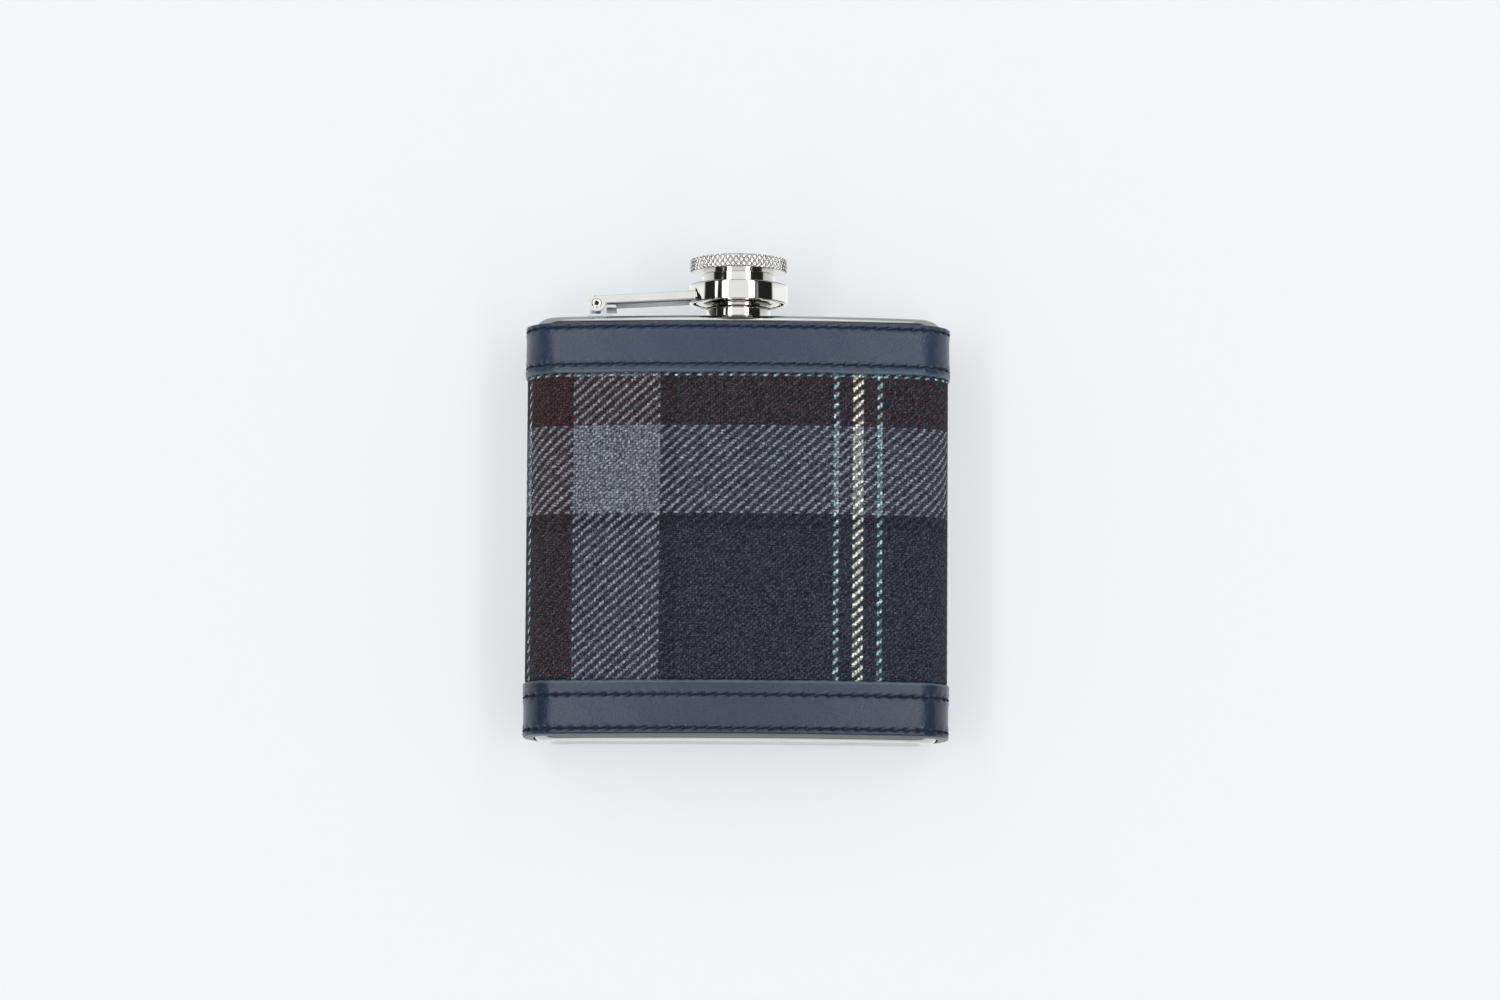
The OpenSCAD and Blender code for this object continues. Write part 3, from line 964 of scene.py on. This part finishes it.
def screw_ridge(angle, z, z0, z1, turned=0.0):
    """Height, from 0 to 1, of a right-handed screw ridge between z0 and z1, turned by part of a turn."""
    turn = (z - z0) / THREAD_PITCH - angle / (2 * math.pi) + turned
    ridge = np.clip(THREAD_CREST - np.abs(np.mod(turn, 1) - 0.5) * THREAD_FLANK, 0, 1)
    starts = np.clip((z - z0) / THREAD_RUN_OUT, 0, 1)
    return ridge * (starts * np.clip((z1 - z) / THREAD_RUN_OUT, 0, 1))


NECK_BORE = 6.2
FILLET = 0.45
RIM_ROUND = 0.3
BORE_ROUND = 0.25
THREAD_STEP = 0.1


def make_neck():
    """The neck with its screw thread and a rolled rim."""
    shoulder = (neck_high[0] - neck_low[0]) / 2 - NECK_FIT
    root = shoulder - 0.25
    shoulder_top = RIM_Z - 0.9 - 1.5 * THREAD_PITCH
    profile = [(shoulder, neck_low[2]), (shoulder, STEEL_TOP)]
    profile += arc(shoulder + FILLET, STEEL_TOP + FILLET, FILLET, -90, -180, 6)[1:]
    profile += [(shoulder, shoulder_top - 0.3), (root + 0.1, shoulder_top)]
    profile += [(root, z) for z in np.arange(shoulder_top + 0.15, RIM_Z - 0.5, THREAD_STEP)]
    profile += arc(root - RIM_ROUND, RIM_Z - RIM_ROUND, RIM_ROUND, 0, 90, 6)
    profile += arc(NECK_BORE + BORE_ROUND, RIM_Z - BORE_ROUND, BORE_ROUND, 90, 180, 6)
    profile += [(NECK_BORE, neck_low[2])]

    def radius(angle, r, z):
        inside = r < root - 0.2
        ridge = screw_ridge(angle, z, shoulder_top + 0.2, RIM_Z - 0.45)
        return np.where(inside, r, r + THREAD_DEPTH * ridge * (r <= root + 0.05))

    obj = lathe("neck_threaded", profile, 128, degrees=50, radius=radius)
    finish_piece(obj, "flask", polished, "neck", "neck_weld", slot="polished_steel")


# ---- cap ----

KNURL_COUNT = 54
KNURL_DEEP = 0.34
KNURL_SLOPE = 0.56
KNOB_EDGE = 0.45
KNOB_STEP = 0.07
KNOB_STEPS_A_TOOTH = 12
TOOTH_FLANK = 0.66
SPIGOT_R = 6.5
SPIGOT_DEEP = 1.4
AXIS_R = 0.02
DOME = 0.1
TOP_SUNK = 0.15


def make_knob():
    """The knob: a diamond knurl round its edge and a turned, slightly domed top."""
    r, low, high = knob_high[0], knob_low[2], knob_high[2]
    core = r - KNURL_DEEP
    edge_r = core - KNOB_EDGE
    top_r = core - 1.25
    sunk = high - TOP_SUNK
    profile = [(SPIGOT_R, low + SPIGOT_DEEP), (SPIGOT_R, low), (core - 0.7, low)]
    profile += arc(edge_r, low + KNOB_EDGE, KNOB_EDGE, -90, 0, 6)
    profile += [(core, z) for z in np.arange(low + KNOB_EDGE + KNOB_STEP, high - KNOB_EDGE, KNOB_STEP)]
    profile += arc(edge_r, high - KNOB_EDGE, KNOB_EDGE, 0, 90, 6)
    profile += [(core - 0.9, high - 0.005), (core - 1.05, high - 0.14), (top_r, sunk)]
    profile += [(t, sunk + DOME * (1 - (t / top_r) ** 2)) for t in np.linspace(core - 1.6, 0.4, 12)]
    profile += [(AXIS_R, sunk + DOME), (AXIS_R, low + SPIGOT_DEEP)]
    middle = (low + high) / 2

    def radius(angle, rr, z):
        a = angle * KNURL_COUNT / (2 * math.pi)
        b = (z - middle) * KNURL_SLOPE
        wave = [1 - 2 * np.abs(np.mod(a + q * b, 1) - 0.5) for q in (1, -1)]
        tooth = np.minimum(np.minimum(wave[0], wave[1]) / TOOTH_FLANK, 1.0)
        on_edge = np.clip((rr - edge_r) / (KNOB_EDGE * 0.75), 0, 1)
        return rr + KNURL_DEEP * on_edge * (1 - (1 - tooth) ** 2)

    obj = lathe("knurled_knob", profile, KNURL_COUNT * KNOB_STEPS_A_TOOTH, degrees=30, radius=radius)
    turned = turned_material(core, low + KNOB_EDGE, high - KNOB_EDGE)
    finish_piece(obj, "cap", turned, "cap_knob", slot="polished_steel")


BARREL_R = 8.2
BARREL_ROOT = 7.85
BARREL_SOFT = 0.2
BARREL_GROOVE = 0.5
BARREL_RIDGE = 0.27
PLUG_R = 6.45
PLUG_HIGH = 1.3


def make_barrel():
    """The barrel under the knob, with its lip and its inner screw thread."""
    lip_r, low, top = barrel_high[0], barrel_low[2], knob_low[2]
    ceiling = seal_high[2] + 0.02
    groove = BARREL_R - BARREL_GROOVE
    soft, root = BARREL_SOFT, BARREL_ROOT
    profile = [(PLUG_R, top + PLUG_HIGH), (PLUG_R, top + 0.01), (groove, top + 0.01), (groove, top - 0.42)]
    profile += arc(BARREL_R - soft, top - 0.67, soft, 90, 0, 4)
    profile += [(BARREL_R, low + 0.95)] + arc(BARREL_R + 0.15, low + 0.95, 0.15, 180, 270, 4)[1:]
    profile += arc(lip_r - soft, low + 0.6, soft, 90, 0, 4) + arc(lip_r - soft, low + soft, soft, 0, -90, 4)
    profile += [(root + 0.25, low), (root, low + 0.25)]
    profile += [(root, z) for z in np.arange(low + 0.4, ceiling - 0.3, THREAD_STEP)]
    profile += [(root, ceiling), (AXIS_R, ceiling), (AXIS_R, top + PLUG_HIGH)]

    def radius(angle, r, z):
        inside = (np.abs(r - root) < 0.02) & (z < ceiling - 0.2)
        ridge = screw_ridge(angle, z, low + 0.5, seal_low[2] - 0.2, 0.5)
        return np.where(inside, r - BARREL_RIDGE * ridge, r)

    obj = lathe("cap_barrel_threaded", profile, 128, degrees=40, radius=radius)
    finish_piece(obj, "cap", polished, "cap_barrel", slot="polished_steel")


COLLAR_HOLE = 8.28
COLLAR_WALL = 0.9
COLLAR_SOFT = 0.4
HOLE_SOFT = 0.2
FOOT_SOFT = 0.3


def make_collar():
    """The collar: a deep ring, open below, with soft edges."""
    outer, low, high = collar_high[0], collar_low[2], collar_high[2]
    inner, ceiling = outer - COLLAR_WALL, high - COLLAR_WALL
    bend = barrel_high[0] + 0.1
    profile = arc(outer - COLLAR_SOFT, high - COLLAR_SOFT, COLLAR_SOFT, 0, 90, 6)
    profile += arc(COLLAR_HOLE + HOLE_SOFT, high - HOLE_SOFT, HOLE_SOFT, 90, 180, 4)
    profile += [(COLLAR_HOLE, ceiling)]
    for t in np.linspace(0.0, math.pi / 2, 14):
        drop = (ceiling - low - 0.35) * (1 - math.cos(t))
        profile.append((bend + (inner - bend) * math.sin(t), ceiling - drop))
    profile += arc(inner + FOOT_SOFT, low + FOOT_SOFT, FOOT_SOFT, 190, 270, 5)
    profile += arc(outer - FOOT_SOFT, low + FOOT_SOFT, FOOT_SOFT, -90, 0, 5)
    obj = lathe("collar_smooth", profile, 144, degrees=40)
    finish_piece(obj, "arm", polished, "collar", slot="polished_steel")


ARM_SHEET = 0.8


def make_arm():
    """The arm, polished outside and dull inside its channel, and the bracket, with rounded edges."""
    arm = finish_piece(rounded_copy("swing_arm", "arm", 0.2), "arm", polished, "arm", slot="polished_steel")
    arm.data.materials.append(pressed)
    half = (arm_high[1] - arm_low[1]) / 2 * MM
    for face in arm.data.polygons:
        off_axis = face.center.y - AXIS_Y * MM
        inward = face.normal.y * off_axis < -0.3 * half
        if inward or (face.normal.z < -0.8 and abs(off_axis) < half - ARM_SHEET * MM):
            face.material_index = 1
    finish_piece(rounded_copy("hinge_bracket_bent", "hinge_bracket", 0.3), "flask", pressed,
                 "hinge_bracket", slot="polished_steel")


# The riveted head's section, from its cup to its edge, as radius and height off the arm
HEAD = [(0.02, -0.6), (0.36, -0.5), (0.46, 0.14), (0.6, 0.24), (0.82, 0.23), (1.02, 0.14), (1.12, 0.04),
        (1.1, 0.0)]
HEAD_HOLE = 0.5
PIN_TURNS = 32


def make_pin():
    """The hinge pin: each end is riveted over the arm into a cupped head."""
    low, high = span("hinge_pin")
    r, half = (high[0] - low[0]) / 2, (high[1] - low[1]) / 2
    middle = (low + high) / 2
    face = (arm_high[1] - arm_low[1]) / 2 - half + 0.02
    end = [(a, face + b) for a, b in HEAD] + [(r, face)]
    profile = [(a, half + b) for a, b in end] + [(a, -half - b) for a, b in reversed(end)]
    turn = 2 * math.pi * np.arange(PIN_TURNS) / PIN_TURNS
    verts = [middle + (radius * math.cos(a), along, radius * math.sin(a))
             for radius, along in profile for a in turn]
    faces, _ = sheet_faces(len(profile), PIN_TURNS, True)
    obj = piece("riveted_pin", verts, faces)
    clean(obj)
    sharpen(obj, 50)
    finish_piece(obj, "flask", polished, "hinge_pin", slot="polished_steel")
    # The floor of each cup is made near black: painted shade in the hole.
    obj.data.materials.append(painted_shade_steel)
    for polygon in obj.data.polygons:
        across = math.hypot(polygon.center.x / MM - middle[0], polygon.center.z / MM - middle[2])
        if across < HEAD_HOLE:
            polygon.material_index = 1


make_cloth()
lip_top, hem_top = top_band_low[2], top_band_high[2]
hem_base, lip_base = base_band_low[2], base_band_high[2]
rows = {
    "stitches_top_upper": hem_top - TOP_ROW_BELOW_HEM,
    "stitches_top_lower": lip_top + TOP_ROW_ABOVE_LIP,
    "stitches_bottom_upper": lip_base - BASE_ROW_BELOW_LIP,
    "stitches_bottom_lower": hem_base + BASE_ROW_ABOVE_HEM,
}
top_rows = [row for node, row in rows.items() if "top" in node]
base_rows = [row for node, row in rows.items() if "bottom" in node]
make_band("top_band_leather", "leather_band_top", top_leather, top_rows, lip_top, hem_top)
make_band("base_band_leather", "leather_band_bottom", base_leather_painted_darker, base_rows, lip_base, hem_base)
for node, row in rows.items():
    make_stitches(node + "_thread", node, row)
make_plates()
make_neck()
make_knob()
make_barrel()
make_collar()
make_arm()
make_pin()

node_looks = {"body_wall": satin, "bracket_weld": satin, "arm_braze": polished,
              "backing_card": card, "cap_seal": seal_plastic}
for node, look in node_looks.items():
    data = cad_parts[node].data
    data.materials.clear()
    data.materials.append(look)


# ---- surface, light and camera ----

SURFACE_HALF = 3000.0
SURFACE_GAP = 0.3


def make_surface():
    """The pale surface that the flask lies on. Seen from behind it is clear, so it hides nothing."""
    half, y = SURFACE_HALF, cad_high[1] / MM + SURFACE_GAP
    corners = [(-half, y, -half), (half, y, -half), (half, y, half), (-half, y, half)]
    obj = piece("pale_surface", corners, [(0, 1, 2, 3)], smooth=False)
    m = Shader("pale_surface")
    m.set(Base_Color=(0.37, 0.375, 0.38, 1.0), Roughness=0.8, Specular_IOR_Level=0.1)
    m.set(Emission_Color=(0.94, 0.965, 1.0, 1.0), Emission_Strength=0.53)
    backfacing = m.node("ShaderNodeNewGeometry").outputs["Backfacing"]
    clear = m.node("ShaderNodeBsdfTransparent").outputs[0]
    both = m.plug_all(m.node("ShaderNodeMixShader"), backfacing, m.surface.outputs[0], clear)
    m.plug(m.tree.nodes["Material Output"].inputs[0], both)
    obj.data.materials.append(m.material)
    obj.visible_diffuse = False
    obj.visible_glossy = False
    obj.visible_shadow = False


# How bright each zone of the studio is
CENTRE = 0.98
SIDES = 5.2
GLINT = 0.3
LEVEL = 1.1
LOWER = 0.88
RAISED = 0.5
OVERHEAD = 1.3
FLOOR = 0.3
ROOM = 0.02

# How much more light matt things get than polished ones show, from the sides and from the panels
WINGS = 0.7
PANELS_SOFT = -0.44

LIT_COLOUR = (0.97, 0.985, 1.0, 1.0)
SEEN_COLOUR = (0.87, 0.9, 0.94, 1.0)


def make_light():
    """A studio seen from the flask: a wide panel round the camera with brighter sides, a dark room
    beside it, a lamp overhead and the pale surface behind. The camera sees a plain room."""
    world = bpy.data.worlds.new("studio")
    bpy.context.scene.world = world
    world.use_nodes = True
    world.node_tree.nodes.clear()
    g = Nodes(world.node_tree)

    def zone(value, low, high, soft, bright=1.0):
        """Light where value, in degrees, lies between low and high, falling off over soft."""
        rise = g.range(value, low - soft, low + soft, 0.0, 1.0)
        fall = g.range(value, high - soft, high + soft, 1.0, 0.0)
        return g.times(rise, fall, bright)

    x, y, z = g.split(g.node("ShaderNodeTexCoord").outputs["Generated"])
    bearing = g.math("DEGREES", g.math("ARCTAN2", x, g.times(y, -1.0)))
    height = g.math("DEGREES", g.math("ARCSINE", z))
    away = g.math("ABSOLUTE", bearing)
    glint = g.times(zone(bearing, 42.0, 47.0, 1.5), zone(height, -30.0, 15.0, 1.5, GLINT))
    front = g.plus(zone(away, -10.0, 25.0, 2.5, CENTRE), zone(away, 26.0, 37.0, 2.5, SIDES), glint)
    panels = g.times(front, zone(height, -52.0, 52.0, 4.0))
    level = zone(height, 0.0, 14.0, 4.0, LEVEL)
    lower = zone(height, -52.0, 0.0, 4.0, LOWER)
    raised = zone(height, 14.0, 76.0, 4.0, RAISED)
    surface = g.times(zone(away, 87.0, 200.0, 2.5), g.plus(level, lower, raised))
    overhead = zone(height, 76.0, 120.0, 4.0, OVERHEAD)
    floor = zone(height, -120.0, -58.0, 5.0, FLOOR)
    seen = g.plus(panels, surface, overhead, floor, ROOM)
    path = g.node("ShaderNodeLightPath")
    fill = g.plus(zone(away, 35.0, 87.0, 1.5, WINGS), g.times(panels, PANELS_SOFT))
    total = g.plus(seen, g.times(path.outputs["Is Diffuse Ray"], fill))
    lit = g.plug_all(g.node("ShaderNodeBackground"), LIT_COLOUR, total)
    plain = g.plug_all(g.node("ShaderNodeBackground"), SEEN_COLOUR)
    either = g.plug_all(g.node("ShaderNodeMixShader"), path.outputs["Is Camera Ray"], lit, plain)
    g.plug(g.node("ShaderNodeOutputWorld").inputs[0], either)


STREAK_WIDE = 10.0
STREAK_TALL = 34.0
STREAK_ENERGY = 0.0022
STREAK_BEARING = -50.5
STREAK_REACH = 100.0
STREAK_RISE = 15.0


def make_streak():
    """A small lit card near the cap, which only polished metal shows, as a streak."""
    data = bpy.data.lights.new("card", "AREA")
    data.shape = "RECTANGLE"
    data.size, data.size_y = STREAK_WIDE * MM, STREAK_TALL * MM
    data.energy = STREAK_ENERGY
    lamp = linked("card", data)
    bearing = math.radians(STREAK_BEARING)
    towards = Vector((math.sin(bearing), -math.cos(bearing), STREAK_RISE / STREAK_REACH))
    cap = Vector((0.0, AXIS_Y, (collar_low[2] + collar_high[2]) / 2))
    turn = towards.to_track_quat("Z", "Y").to_matrix().to_4x4()
    lamp.matrix_world = Matrix.Translation((cap + towards * STREAK_REACH) * MM) @ turn
    lamp.visible_camera = False
    lamp.visible_diffuse = False
    lamp.visible_shadow = False


FOCAL_PX = 6650.0
FRAME_PX = 1500.0
SENSOR_MM = 36.0
CAMERA_DISTANCE = 1485.0
CAMERA_LOOKS_UP = 6.6
CAMERA_ROLL = 0.37
AIM_X = 2.9
AIM_Z = 53.24


def make_camera():
    """A long lens, straight at the front of the flask and from slightly below it."""
    data = bpy.data.cameras.new("camera")
    data.sensor_width = SENSOR_MM
    data.lens = FOCAL_PX / FRAME_PX * data.sensor_width
    data.clip_start, data.clip_end = 0.05, 50.0
    camera = linked("camera", data)
    tilt = math.radians(CAMERA_LOOKS_UP)
    forward = Vector((0.0, math.cos(tilt), math.sin(tilt)))
    aim = Vector((AIM_X, cad_low[1] / MM, AIM_Z)) * MM
    turn = forward.to_track_quat("-Z", "Y").to_matrix().to_4x4()
    roll = Matrix.Rotation(math.radians(CAMERA_ROLL), 4, "Z")
    camera.matrix_world = Matrix.Translation(aim - forward * CAMERA_DISTANCE * MM) @ turn @ roll
    bpy.context.scene.camera = camera


make_surface()
make_light()
make_streak()
make_camera()
bpy.context.scene.view_settings.view_transform = "Standard"
